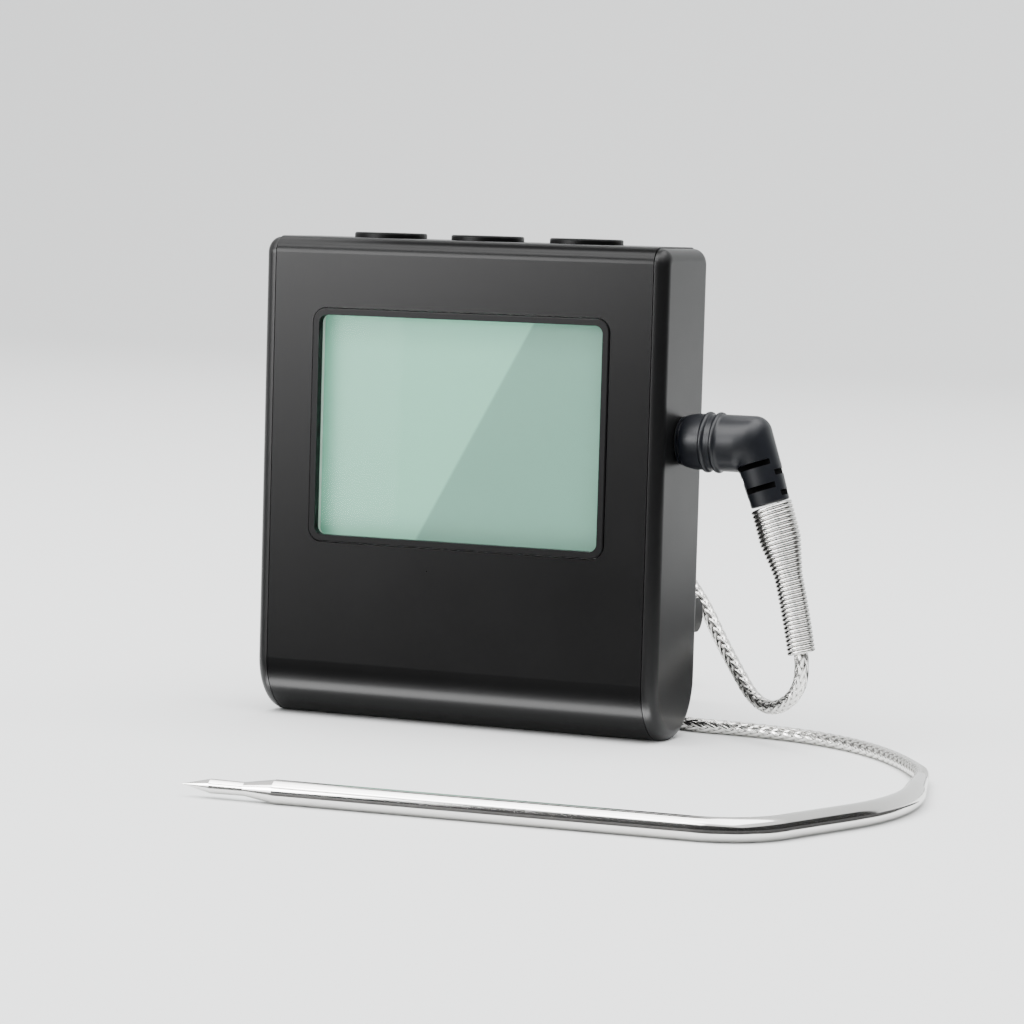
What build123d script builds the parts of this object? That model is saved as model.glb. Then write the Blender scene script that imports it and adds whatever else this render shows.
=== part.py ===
from build123d import *
import math
import os

# Meat thermometer: display unit on its kickstand, side plug, braided lead and steel probe.
# Origin: centre of the flat under the display unit. +X is the jack side, +Y the back, +Z up.

os.makedirs("parts", exist_ok=True)

# Display unit: a wrap-round shell with a half-round bottom between two end caps
HEIGHT = 73.0
DEPTH = 18.0
ROUND = DEPTH / 2
BASE_FLAT = 4.0
ROUND_Z = math.sqrt(ROUND ** 2 - (BASE_FLAT / 2) ** 2)
TOP_RADIUS = 2.5
WALL = 1.8
SHELL_HALF = 30.55
CAP_GAP = 0.12
CAP_THICK = 1.96
CAP_EDGE = 1.85
CAP_DROP = 0.2
RIM_DEPTH = 1.2
FRONT = -ROUND
BACK = ROUND
INNER_FRONT = FRONT + WALL
INNER_BACK = BACK - WALL

# Window, lens and display glass
WINDOW_Z = 44.67
WINDOW_WIDTH = 48.3
WINDOW_HEIGHT = 35.5
WINDOW_CORNER = 2.2
BEZEL_LIP = 1.15
BEZEL_PROUD = 0.25
GLASS_WIDTH = 49.0
GLASS_HEIGHT = 36.0

# Buttons in the top
BUTTON_PITCH = 16.05
BUTTON_RADIUS = 5.5
BUTTON_Y = 0.7
BUTTON_TOP = 73.8
FLANGE_RADIUS = 6.3
FLANGE_LOW = 70.3
FLANGE_HIGH = 70.9
BUTTON_NAMES = ("left", "middle", "right")

# Circuit boards
BOARD_FRONT = -4.0
BOARD_BACK = -3.0
BOARD_LOW = 41.5
BOARD_HIGH = 69.3
KEY_BOARD_TOP = 65.2
SWITCH_TOP = 68.7

# Screw bosses
BOSS_X = 26.3
BOSS_LOW_Z = 22.5
BOSS_HIGH_Z = 66.0
BOSS_RADIUS = 2.2
SCREW_RADIUS = 0.85

# Back cover and battery tray (one AAA cell lying along X)
COVER_HALF = 30.45
COVER_LOW = 9.7
COVER_HIGH = 69.9
CELL_RADIUS = 5.25
CELL_Y = 2.0
CELL_Z = 33.0
DOOR_HALF = 25.9
DOOR_LOW = 26.3
DOOR_HIGH = 39.7
DOOR_FRONT = 7.8

# Kickstand and its hinge on the back
HINGE_Y = 11.9
HINGE_Z = 17.6
KNUCKLE_RADIUS = 2.6
LUG_IN = 25.0
LUG_OUT = 31.3
PIN_RADIUS = 1.0
LEG_LENGTH = 21.0
LEG_THICK = 2.8
LEG_HALF = 19.0
MAGNET_RADIUS = 5.0
MAGNET_THICK = 2.0
FOOT_OFFSET = KNUCKLE_RADIUS - LEG_THICK / 2
FOOT_DROP = HINGE_Z - LEG_THICK / 2
FOOT_REACH = math.hypot(LEG_LENGTH, FOOT_OFFSET)
FOLD_ANGLE = math.degrees(math.acos(-FOOT_DROP / FOOT_REACH) - math.atan(FOOT_OFFSET / LEG_LENGTH))

# Jack, elbow plug and spring
JACK_Y = -0.8
JACK_Z = 44.63
JACK_BORE = 1.35
PLUG_PIN_RADIUS = 1.25
PLUG_FACE = 32.85
BARREL_RADIUS = 4.2
ELBOW_X = 43.95
LEG_TILT = math.radians(18.8)
RELIEF_RADIUS = 3.12
RELIEF_TIP = 2.9
RELIEF_START = 3.68
RELIEF_END = 9.0
RELIEF_CORE = 1.9
SLOT_HEIGHT = 0.8
SLOT_WIDTH = 5.2
SLOT_REACH = 6.0
FIRST_SLOT = 3.05
RELIEF_SLOTS = ((4.8, "side"), (6.5, "front"), (8.0, "side"))
SPRING_TURN = math.radians(9.0)
SPRING_LENGTH = 22.6

# Lead: 2.1 mm braided cable, its points from the spring to the coil and from the coil to the probe
LEAD_RADIUS = 1.05
FLOOR = LEAD_RADIUS
LEAD_INSIDE = 2.3
COIL_X = -2.0
COIL_Y = 57.0
COIL_INNER = 6.8
COIL_OUTER = 13.2
COIL_LOW = 0.4
COIL_HIGH = 8.6
TIE_THICK = 0.4
TURN_OUT = 12.0
LOW_TURN_Z = 1.4
TOP_TURN_Z = 7.5
LEAVE_ANGLE = math.radians(225)

# Probe: 3.2 mm steel tube, bent once sharply and once gently
PROBE_RADIUS = 1.6
PROBE_BORE = 1.15
TIP_X = -3.4
TIP_Y = -86.7
TIP_ANGLE = math.radians(2.8)
TIP_CONE = 4.2
NECK_END = 9.0
FLARE_END = 13.4
NECK_RADIUS = 0.92
BEND_LENGTH = 77.0
BEND_RADIUS = 10.5
SWEEP_POINT = (84.9, -52.0, PROBE_RADIUS)
SWEEP_RADIUS = 42.0
TUBE_END = (82.0, -39.6, PROBE_RADIUS)
CRIMP_LENGTH = 12.0
CRIMP_RADIUS = 1.1
CRIMP_INSIDE = 1.5


def block(x0, x1, y0, y1, z0, z1):
    """A box between two corners."""
    centre = Pos((x0 + x1) / 2, (y0 + y1) / 2, (z0 + z1) / 2)
    return centre * Box(x1 - x0, y1 - y0, z1 - z0)


def rod(start, end, radius, end_radius=None):
    """A round bar, or a cone, between two points."""
    axis = Vector(*end) - Vector(*start)
    place = Plane(origin=start, z_dir=axis)
    if end_radius is None:
        solid = Cylinder(radius, axis.length, align=(Align.CENTER, Align.CENTER, Align.MIN))
    else:
        solid = Cone(radius, end_radius, axis.length, align=(Align.CENTER, Align.CENTER, Align.MIN))
    return place * solid


def along_x(sketch, x0, x1):
    """A sketch in Y and Z drawn out from x0 to x1."""
    return extrude(Plane.YZ.offset(x0) * sketch, amount=x1 - x0)


def plate(width, height, corner, y0, y1, z):
    """A rounded rectangle standing in the X-Z plane, centred on x = 0, from y0 to y1."""
    face = Plane(origin=(0, y1, z), x_dir=(1, 0, 0), z_dir=(0, -1, 0))
    outline = face * RectangleRounded(width, height, corner)
    return extrude(outline, amount=y1 - y0)


def side_profile(inset, drop=0.0):
    """The unit's side outline, moved inwards by inset, its top lowered by drop."""
    radius = ROUND - inset
    top = HEIGHT - drop - inset
    upper = Pos(0, (ROUND_Z + top) / 2) * Rectangle(2 * radius, top - ROUND_Z)
    upper = fillet(upper.vertices().group_by(Axis.Y)[-1], max(TOP_RADIUS - inset, 0.4))
    return upper + Pos(0, ROUND_Z) * Circle(radius)


def boss_places():
    """The four screw places, as (x, z)."""
    return [(x, z) for x in (-BOSS_X, BOSS_X) for z in (BOSS_LOW_Z, BOSS_HIGH_Z)]


def button_x(index):
    """The X of one of the three buttons."""
    return (index - 1) * BUTTON_PITCH


def below_floor():
    """Everything under the table."""
    return block(-60, 60, -60, 60, -5, 0)


def front_shell():
    """Front, top and half-round bottom in one wrap, open at both ends and at the back."""
    shell = along_x(side_profile(0), -SHELL_HALF, SHELL_HALF)
    shell -= along_x(side_profile(WALL), -SHELL_HALF, SHELL_HALF)
    shell -= block(-SHELL_HALF - 1, SHELL_HALF + 1, 5, BACK + 1, COVER_LOW - 0.1, COVER_HIGH + 0.1)
    shell -= plate(WINDOW_WIDTH, WINDOW_HEIGHT, WINDOW_CORNER, FRONT - 1, INNER_FRONT + 1, WINDOW_Z)
    for index in range(3):
        shell -= Pos(button_x(index), BUTTON_Y, HEIGHT) * Cylinder(BUTTON_RADIUS + 0.15, 6)
    for x, z in boss_places():
        shell += rod((x, INNER_FRONT - 0.5, z), (x, INNER_BACK - 0.1, z), BOSS_RADIUS)
        shell -= rod((x, -3, z), (x, INNER_BACK, z), SCREW_RADIUS + 0.05)
    return shell - below_floor()


def end_cap():
    """The right end cap: rounded outer edge and a locating rim."""
    start = SHELL_HALF + CAP_GAP
    cap = along_x(side_profile(0, CAP_DROP), start, start + CAP_THICK)
    cap = fillet(cap.faces().sort_by(Axis.X)[-1].edges(), CAP_EDGE)
    rim = side_profile(WALL + 0.1, CAP_DROP) - side_profile(WALL + 1.1, CAP_DROP)
    cap += along_x(rim, start - RIM_DEPTH, start + 0.2)
    return cap - below_floor()


def window_bezel():
    """The thin raised ring round the window."""
    ring = plate(WINDOW_WIDTH - 0.2, WINDOW_HEIGHT - 0.2, WINDOW_CORNER - 0.1,
                 FRONT - BEZEL_PROUD, FRONT + 1.1, WINDOW_Z)
    outer_edges = ring.faces().sort_by(Axis.Y)[0].edges()
    ring = fillet(outer_edges, 0.2)
    opening = plate(WINDOW_WIDTH - 2 * BEZEL_LIP, WINDOW_HEIGHT - 2 * BEZEL_LIP, WINDOW_CORNER - 1.0,
                    FRONT - 1, FRONT + 2, WINDOW_Z)
    return ring - opening


def lcd_frame():
    """The tray that holds the display glass behind the window."""
    frame = plate(51.2, 38.0, 1.0, INNER_FRONT + 0.05, -4.3, WINDOW_Z)
    frame -= plate(GLASS_WIDTH + 0.2, GLASS_HEIGHT + 0.2, 0.5, INNER_FRONT + 0.75, -4, WINDOW_Z)
    return frame - plate(46.6, 33.6, 1.0, FRONT, -4, WINDOW_Z)


def rear_cover():
    """The flat back with hinge lugs, screw holes and the battery tray."""
    cover = block(-COVER_HALF, COVER_HALF, INNER_BACK, BACK, COVER_LOW, COVER_HIGH)
    cover += block(-25.6, 25.6, -4.1, INNER_BACK + 0.3, 26.6, 39.4)
    cover -= block(-24.6, 24.6, -3.3, BACK + 1, 27.6, 38.4)
    cover -= block(-DOOR_HALF - 0.1, DOOR_HALF + 0.1, DOOR_FRONT, BACK + 1, DOOR_LOW - 0.1, DOOR_HIGH + 0.1)
    for x, z in boss_places():
        cover -= rod((x, INNER_BACK - 1, z), (x, BACK + 1, z), SCREW_RADIUS + 0.2)
        cover -= rod((x, BACK - 0.9, z), (x, BACK + 1, z), 2.0)
    for side in (-1, 1):
        low = min(side * LUG_IN, side * (COVER_HALF - 0.25))
        high = max(side * LUG_IN, side * (COVER_HALF - 0.25))
        neck_low = HINGE_Z - KNUCKLE_RADIUS
        neck_high = HINGE_Z + KNUCKLE_RADIUS
        cover += block(low, high, BACK - 0.5, HINGE_Y, neck_low, neck_high)
        cover += rod((side * LUG_IN, HINGE_Y, HINGE_Z), (side * LUG_OUT, HINGE_Y, HINGE_Z), KNUCKLE_RADIUS)
    bore_end = LUG_OUT - 0.4
    return cover - rod((-LUG_OUT - 1, HINGE_Y, HINGE_Z), (bore_end, HINGE_Y, HINGE_Z), PIN_RADIUS)


def battery_door():
    """The snap-on lid of the battery tray, with a thumb scoop."""
    door = block(-DOOR_HALF, DOOR_HALF, DOOR_FRONT, BACK, DOOR_LOW, DOOR_HIGH)
    door += block(-4, 4, DOOR_FRONT - 1.2, DOOR_FRONT, 37.5, 38.2)
    return door - Pos(0, BACK + 7.4, DOOR_LOW + 2.5) * Rot(0, 90, 0) * Cylinder(8, 12)


def cover_screws():
    """Four small self-tapping screws."""
    screws = []
    for x, z in boss_places():
        screw = rod((x, 0, z), (x, BACK - 0.8, z), SCREW_RADIUS)
        screw += rod((x, BACK - 0.9, z), (x, BACK - 0.1, z), 1.8)
        screw -= block(x - 1.3, x + 1.3, BACK - 0.5, BACK, z - 0.2, z + 0.2)
        screw -= block(x - 0.2, x + 0.2, BACK - 0.5, BACK, z - 1.3, z + 1.3)
        screws.append(screw)
    return Compound(children=screws)


def button(index):
    """A round button with its retaining flange and a nub for the switch."""
    x = button_x(index)
    disc = rod((x, BUTTON_Y, FLANGE_HIGH), (x, BUTTON_Y, BUTTON_TOP), BUTTON_RADIUS)
    disc = fillet(disc.faces().sort_by(Axis.Z)[-1].edges(), 0.3)
    disc += rod((x, BUTTON_Y, FLANGE_LOW), (x, BUTTON_Y, FLANGE_HIGH + 0.15), FLANGE_RADIUS)
    return disc + rod((x, BUTTON_Y, FLANGE_LOW - 0.75), (x, BUTTON_Y, FLANGE_LOW + 0.1), 1.6)


def switch_plunger(index):
    """The moving stem of a key switch."""
    return rod((button_x(index), BUTTON_Y, 68.0), (button_x(index), BUTTON_Y, 69.5), 1.7)


def key_switches():
    """Three square push switches on the key board."""
    switches = []
    for index in range(3):
        x = button_x(index)
        switch = block(x - 3, x + 3, BUTTON_Y - 3, BUTTON_Y + 3, KEY_BOARD_TOP, SWITCH_TOP)
        switch -= rod((x, BUTTON_Y, SWITCH_TOP - 1.8), (x, BUTTON_Y, SWITCH_TOP + 1), 1.8)
        switches.append(switch)
    return Compound(children=switches)


def circuit_board():
    """The main board, cleared round the two upper bosses."""
    board = block(-28.4, 28.4, BOARD_FRONT, BOARD_BACK, BOARD_LOW, BOARD_HIGH)
    for side in (-1, 1):
        x = side * BOSS_X
        board -= rod((x, -5, BOSS_HIGH_Z), (x, 0, BOSS_HIGH_Z), BOSS_RADIUS + 0.3)
    return board


def jack_socket():
    """The side jack: a block on the board with a bush through the end cap."""
    socket = block(19.0, 30.3, BOARD_BACK, 1.4, JACK_Z - 2.2, JACK_Z + 2.2)
    socket += rod((30.2, JACK_Y, JACK_Z), (PLUG_FACE - 0.1, JACK_Y, JACK_Z), 3.0)
    return socket - rod((20.0, JACK_Y, JACK_Z), (PLUG_FACE, JACK_Y, JACK_Z), JACK_BORE)


def jack_contacts():
    """Three spring contacts on top of the jack."""
    contacts = [block(x, x + 1.2, BOARD_BACK, 1.0, JACK_Z + 2.2, JACK_Z + 2.5) for x in (20, 24, 28)]
    return Compound(children=contacts)


def battery():
    """One AAA cell with its positive nub."""
    cell = rod((-22.0, CELL_Y, CELL_Z), (21.1, CELL_Y, CELL_Z), CELL_RADIUS)
    return cell + rod((21.0, CELL_Y, CELL_Z), (22.2, CELL_Y, CELL_Z), 1.9)


def battery_spring():
    """The negative contact: a compressed conical spring on its plate."""
    spring = block(-24.6, -24.3, CELL_Y - 3.8, CELL_Y + 3.8, CELL_Z - 3.8, CELL_Z + 3.8)
    for ring in range(4):
        centre = Pos(-24.05 + 0.55 * ring, CELL_Y, CELL_Z)
        spring += centre * Rot(0, 90, 0) * Torus(3.2 - 0.4 * ring, 0.35)
    return spring


def battery_plate():
    """The positive contact: a folded plate."""
    contact = block(22.25, 22.65, CELL_Y - 3.6, CELL_Y + 3.6, CELL_Z - 3.8, CELL_Z + 3.8)
    return contact + block(22.6, 24.6, CELL_Y - 3.6, CELL_Y + 3.6, CELL_Z - 3.8, CELL_Z - 3.4)


def corner_radii(points, share=0.45):
    """The largest arc at each inner point, from its shorter run and its turn."""
    radii = []
    for before, here, after in zip(points, points[1:], points[2:]):
        run_in = Vector(*here) - Vector(*before)
        run_out = Vector(*after) - Vector(*here)
        turn = math.radians(run_in.get_angle(run_out))
        radii.append(share * min(run_in.length, run_out.length) / math.tan(turn / 2))
    return radii


def tube(points, radius, radii):
    """A round bar along straight runs joined by tangent arcs."""
    path = FilletPolyline(*points, radius=radii)
    section = Plane(origin=path @ 0, z_dir=path % 0) * Circle(radius)
    return sweep(section, path=path), path.length


def battery_wires():
    """Two thin wires from the battery contacts to the board."""
    left = [(-26.3, 3.0, 32.0), (-26.3, 3.0, 41.0), (-22.0, -2.4, 45.0)]
    right = [(26.3, 3.0, 32.0), (26.3, 3.0, 40.7), (12.0, -2.4, 43.2)]
    return Compound(children=[tube(points, 0.5, [2.0])[0] for points in (left, right)])


def kickstand():
    """Knuckle, leg and rounded foot, drawn folded up the back and turned open."""
    leg_outline = Pos(FOOT_OFFSET, LEG_LENGTH / 2) * Rectangle(LEG_THICK, LEG_LENGTH)
    leg_outline += Pos(FOOT_OFFSET, LEG_LENGTH) * Circle(LEG_THICK / 2)
    leg = along_x(leg_outline, -LEG_HALF, LEG_HALF)
    leg &= plate(2 * LEG_HALF, 2 * LEG_LENGTH + LEG_THICK, 5.0, -5, 5, 0)
    leg += rod((0.4 - LUG_IN, 0, 0), (LUG_IN - 0.4, 0, 0), KNUCKLE_RADIUS)
    leg -= rod((-LUG_IN, 0, 0), (LUG_IN, 0, 0), PIN_RADIUS + 0.05)
    for x in (-9.5, 9.5):
        leg -= rod((x, KNUCKLE_RADIUS - MAGNET_THICK, 12), (x, 5, 12), MAGNET_RADIUS + 0.05)
    return opened(leg)


def opened(solid):
    """Turn a solid from its folded place about the hinge to its open place."""
    return Pos(0, HINGE_Y, HINGE_Z) * Rot(-FOLD_ANGLE, 0, 0) * solid


def stand_magnets():
    """Two disc magnets let into the leg."""
    inner = KNUCKLE_RADIUS - MAGNET_THICK
    discs = [rod((x, inner, 12), (x, KNUCKLE_RADIUS, 12), MAGNET_RADIUS) for x in (-9.5, 9.5)]
    return opened(Compound(children=discs))


def turned(profile, x_shift=0.0):
    """A solid of revolution about the jack axis, from (x, radius) points."""
    points = [(x + x_shift, radius) for x, radius in profile]
    points = [(points[0][0], 0)] + points + [(points[-1][0], 0)]
    face = make_face(Polyline(*points, close=True))
    solid = revolve(Plane.XZ * face, axis=Axis.X)
    return Pos(0, JACK_Y, JACK_Z) * solid


def plug_pin():
    """The jack pin, necked where the insulating ring sits."""
    return turned([(21.2, 0.4), (22.0, 1.2), (22.8, 1.2), (23.6, 0.85), (24.4, PLUG_PIN_RADIUS),
                   (24.8, PLUG_PIN_RADIUS), (24.8, 0.7), (25.4, 0.7), (25.4, PLUG_PIN_RADIUS),
                   (PLUG_FACE + 2, PLUG_PIN_RADIUS)])


def pin_insulator():
    """The ring between the pin's two contacts."""
    centre = Pos(25.1, JACK_Y, JACK_Z) * Rot(0, 90, 0)
    return centre * (Cylinder(PLUG_PIN_RADIUS, 0.6) - Cylinder(0.7, 1))


def relief_point(distance, offset=0.0):
    """A point on the strain relief's axis, measured from the elbow; offset goes outwards."""
    x = ELBOW_X + distance * math.sin(LEG_TILT) + offset * math.cos(LEG_TILT)
    z = JACK_Z - distance * math.cos(LEG_TILT) + offset * math.sin(LEG_TILT)
    return (x, JACK_Y, z)


def relief_slot(distance, facing):
    """The cuts for a pair of slots, on the sleeve's front and back or on its two sides."""
    deep = SLOT_REACH - RELIEF_CORE
    middle = (SLOT_REACH + RELIEF_CORE) / 2
    place = Pos(*relief_point(distance)) * Rot(0, -math.degrees(LEG_TILT), 0)
    if facing == "front":
        return [place * Pos(0, side * middle, 0) * Box(SLOT_WIDTH, deep, SLOT_HEIGHT) for side in (-1, 1)]
    return [place * Pos(side * middle, 0, 0) * Box(deep, SLOT_WIDTH, SLOT_HEIGHT) for side in (-1, 1)]


def plug_body():
    """The moulded elbow plug: grooved collar, grip rings, a round elbow and the first slots."""
    inwards = RELIEF_RADIUS - BARREL_RADIUS
    elbow = relief_point(inwards * math.tan(LEG_TILT), inwards)
    body = turned([(PLUG_FACE, 3.65), (33.15, 3.65), (33.15, 3.2), (33.5, 3.2), (33.5, 3.75), (35.2, 4.15),
                   (36.6, 4.15), (36.85, 4.5), (37.25, 4.5), (37.5, 4.15), (38.3, 4.15), (38.55, 4.5),
                   (38.95, 4.5), (39.2, BARREL_RADIUS), (elbow[0], BARREL_RADIUS)])
    body += Pos(*elbow) * Sphere(BARREL_RADIUS)
    body += rod(elbow, relief_point(RELIEF_START), BARREL_RADIUS, RELIEF_RADIUS)
    body -= rod(relief_point(RELIEF_START), relief_point(RELIEF_END), BARREL_RADIUS)
    for slot in relief_slot(FIRST_SLOT, "front"):
        body -= slot
    return body - rod((30, JACK_Y, JACK_Z), (PLUG_FACE + 2, JACK_Y, JACK_Z), PLUG_PIN_RADIUS)


def strain_relief():
    """The slotted sleeve under the elbow."""
    relief = rod(relief_point(RELIEF_START), relief_point(RELIEF_END), RELIEF_RADIUS, RELIEF_TIP)
    for distance, facing in RELIEF_SLOTS:
        for slot in relief_slot(distance, facing):
            relief -= slot
    return relief


def spring_place(distance):
    """The frame across the spring at a distance along its gently curved axis."""
    bend = SPRING_LENGTH / SPRING_TURN
    turn = distance / bend
    start = relief_point(RELIEF_END)
    along = bend * math.sin(turn)
    aside = bend * (1 - math.cos(turn))
    x = start[0] + along * math.sin(LEG_TILT) - aside * math.cos(LEG_TILT)
    z = start[2] - along * math.cos(LEG_TILT) - aside * math.sin(LEG_TILT)
    heading = (math.sin(LEG_TILT - turn), 0, -math.cos(LEG_TILT - turn))
    return Plane(origin=(x, JACK_Y, z), x_dir=(0, 1, 0), z_dir=heading)


def plug_spring():
    """The outer shape of the close-wound spring: wide, a taper, then slim."""
    stations = [(0, 3.15), (5.5, 3.15), (8.0, 2.65), (10.8, 2.15), (SPRING_LENGTH, 2.08)]
    solid = None
    for (start, start_radius), (end, end_radius) in zip(stations, stations[1:]):
        sections = [spring_place(start) * Circle(start_radius), spring_place(end) * Circle(end_radius)]
        piece = loft(sections, ruled=True)
        solid = piece if solid is None else solid + piece
    return solid


def lead_points():
    """From the spring: down, round the hanging loop, over the hinge lug and down to the coil."""
    start = spring_place(SPRING_LENGTH - LEAD_INSIDE).origin
    return [(start.X, start.Y, start.Z), (52.8, -0.7, 12.0), (51.1, 0.9, 7.8), (46.9, 4.0, 5.2),
            (42.2, 8.0, 5.9), (37.9, 12.3, 9.5), (33.2, 17.4, 13.5), (29.3, 21.2, 17.8), (25.6, 24.4, 20.9),
            (22.8, 28.8, 21.8), (21.0, 34.0, 18.4), (19.2, 38.6, 12.0), (16.4, 42.6, 6.0), (12.8, 46.6, 2.2),
            (10.6, 51.5, 1.3), (COIL_X + TURN_OUT, COIL_Y, LOW_TURN_Z)]


def crimp_heading():
    """The way the lead leaves the probe tube."""
    return (Vector(*TUBE_END) - Vector(*SWEEP_POINT)).normalized()


def run_points():
    """From the top of the coil down to the table, past the unit and round to the probe."""
    leave_x = COIL_X + TURN_OUT * math.cos(LEAVE_ANGLE)
    leave_y = COIL_Y + TURN_OUT * math.sin(LEAVE_ANGLE)
    end = Vector(*TUBE_END) + crimp_heading() * CRIMP_LENGTH
    last = end + crimp_heading() * 5.6
    return [(leave_x, leave_y, TOP_TURN_Z), (-5.8, 43.9, 6.8), (0.6, 39.4, 3.8), (7.8, 36.4, 1.3),
            (15.4, 34.4, FLOOR), (20.9, 29.6, FLOOR), (23.4, 23.0, FLOOR), (25.6, 16.2, FLOOR),
            (30.6, 10.4, FLOOR), (39.2, 10.6, FLOOR), (49.0, 9.2, FLOOR), (57.2, 5.4, FLOOR),
            (64.4, -0.6, FLOOR), (70.3, -8.0, FLOOR), (74.6, -15.4, 1.2), (last.X, last.Y, last.Z),
            (end.X, end.Y, end.Z)]


def cable_coil():
    """The outer shape of the put-away turns."""
    low = (COIL_X, COIL_Y, COIL_LOW)
    high = (COIL_X, COIL_Y, COIL_HIGH)
    return rod(low, high, COIL_OUTER) - rod(low, high, COIL_INNER)


def coil_tie():
    """The band round the coil's turns, at its back."""
    near = COIL_Y + COIL_INNER - 0.25
    far = COIL_Y + COIL_OUTER + 0.15
    band = block(-1.5, 1.5, near - TIE_THICK, far + TIE_THICK, COIL_LOW - TIE_THICK, COIL_HIGH + TIE_THICK)
    return band - block(-2, 2, near, far, COIL_LOW, COIL_HIGH)


def probe_point(distance):
    """A point on the straight of the probe, measured from its tip."""
    return (TIP_X + distance * math.cos(TIP_ANGLE), TIP_Y + distance * math.sin(TIP_ANGLE), PROBE_RADIUS)


def probe_tube():
    """The swaged shoulder and the bent steel tube."""
    points = [probe_point(FLARE_END), probe_point(BEND_LENGTH), SWEEP_POINT, TUBE_END]
    radii = [BEND_RADIUS, SWEEP_RADIUS]
    outer, length = tube(points, PROBE_RADIUS, radii)
    inner, length = tube(points, PROBE_BORE, radii)
    shoulder = rod(probe_point(NECK_END), probe_point(FLARE_END), NECK_RADIUS, PROBE_RADIUS)
    shoulder -= rod(probe_point(NECK_END), probe_point(FLARE_END), 0.55, PROBE_BORE)
    print("probe along its centre line", round(FLARE_END + length, 1))
    return outer - inner + shoulder


def probe_tip():
    """The point and the slim neck that holds the sensor."""
    tip = rod(probe_point(0), probe_point(TIP_CONE), 0.04, NECK_RADIUS + 0.06)
    tip += rod(probe_point(TIP_CONE), probe_point(NECK_END), NECK_RADIUS + 0.06, NECK_RADIUS)
    return tip - rod(probe_point(6.5), probe_point(NECK_END), 0.55)


def cable_crimp():
    """The tapered end where the lead enters the tube."""
    heading = crimp_heading()
    start = Vector(*TUBE_END)
    end = start + heading * CRIMP_LENGTH
    inside = start - heading * CRIMP_INSIDE
    crimp = rod((start.X, start.Y, start.Z), (end.X, end.Y, end.Z), PROBE_RADIUS, CRIMP_RADIUS)
    return crimp + rod((inside.X, inside.Y, inside.Z), (start.X, start.Y, start.Z), PROBE_BORE - 0.05)


def check_tube(name, solid, radius, length, radii):
    """Print a tube's arcs and compare its volume with its section times its length."""
    expected = math.pi * radius ** 2 * length
    print(name, "length", round(length, 1), "volume ratio", round(solid.volume / expected, 3))
    print("  arc radii", [round(value, 1) for value in radii])


lead, lead_length = tube(lead_points(), LEAD_RADIUS, corner_radii(lead_points()))
run, run_length = tube(run_points(), LEAD_RADIUS, corner_radii(run_points()))
check_tube("cable_lead", lead, LEAD_RADIUS, lead_length, corner_radii(lead_points()))
check_tube("cable_run", run, LEAD_RADIUS, run_length, corner_radii(run_points()))
print("fold angle", round(FOLD_ANGLE, 2))

right_cap = end_cap()
parts = {
    "front_shell": front_shell(),
    "rear_cover": rear_cover(),
    "left_end_cap": mirror(right_cap, about=Plane.YZ),
    "right_end_cap": right_cap - rod((28, JACK_Y, JACK_Z), (36, JACK_Y, JACK_Z), 3.1),
    "window_bezel": window_bezel(),
    "window_lens": plate(WINDOW_WIDTH - 0.2, WINDOW_HEIGHT - 0.2, WINDOW_CORNER - 0.1,
                         FRONT + 1.1, INNER_FRONT, WINDOW_Z),
    "lcd_glass": plate(GLASS_WIDTH, GLASS_HEIGHT, 0.4, INNER_FRONT + 0.8, -4.5, WINDOW_Z),
    "lcd_frame": lcd_frame(),
    "contact_strip": block(-22, 22, -4.5, BOARD_FRONT, 59.4, 61.6),
    "circuit_board": circuit_board(),
    "controller_chip": rod((2, BOARD_BACK, 54), (2, BOARD_BACK + 1.1, 54), 4.5),
    "buzzer": rod((-16, BOARD_BACK, 53), (-16, 0.4, 53), 6.0) - rod((-16, -1, 53), (-16, 1, 53), 1.0),
    "key_board": block(-23.4, 23.4, BOARD_BACK + 0.1, 6.8, KEY_BOARD_TOP - 1, KEY_BOARD_TOP),
    "key_switches": key_switches(),
    "jack_socket": jack_socket(),
    "jack_contacts": jack_contacts(),
    "battery": battery(),
    "battery_spring": battery_spring(),
    "battery_plate": battery_plate(),
    "battery_wires": battery_wires(),
    "battery_door": battery_door(),
    "cover_screws": cover_screws(),
    "kickstand": kickstand(),
    "kickstand_pin": rod((-30.8, HINGE_Y, HINGE_Z), (30.8, HINGE_Y, HINGE_Z), PIN_RADIUS),
    "stand_magnets": stand_magnets(),
    "plug_pin": plug_pin(),
    "pin_insulator": pin_insulator(),
    "plug_body": plug_body(),
    "strain_relief": strain_relief(),
    "plug_spring": plug_spring(),
    "cable_lead": lead,
    "cable_coil": cable_coil(),
    "coil_tie": coil_tie(),
    "cable_run": run,
    "cable_crimp": cable_crimp(),
    "probe_tube": probe_tube(),
    "probe_tip": probe_tip(),
    "sensor_bead": rod(probe_point(6.7), probe_point(8.8), 0.5),
}
for index, name in enumerate(BUTTON_NAMES):
    parts["button_" + name] = button(index)
    parts["switch_plunger_" + name] = switch_plunger(index)

for name, shape in parts.items():
    export_step(shape, "parts/" + name + ".step")
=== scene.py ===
import bmesh
import bpy
import math
from mathutils import Matrix, Vector


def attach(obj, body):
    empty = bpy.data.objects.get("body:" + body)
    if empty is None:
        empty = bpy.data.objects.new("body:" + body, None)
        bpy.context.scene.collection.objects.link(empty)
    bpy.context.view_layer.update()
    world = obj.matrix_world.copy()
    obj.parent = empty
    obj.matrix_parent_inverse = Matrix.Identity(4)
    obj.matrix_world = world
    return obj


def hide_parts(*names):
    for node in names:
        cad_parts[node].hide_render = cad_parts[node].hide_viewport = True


# Meat thermometer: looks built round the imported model. Metres, in the model's own frame; the lead's route and
# the plug's profile are listed in millimetres.

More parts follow.
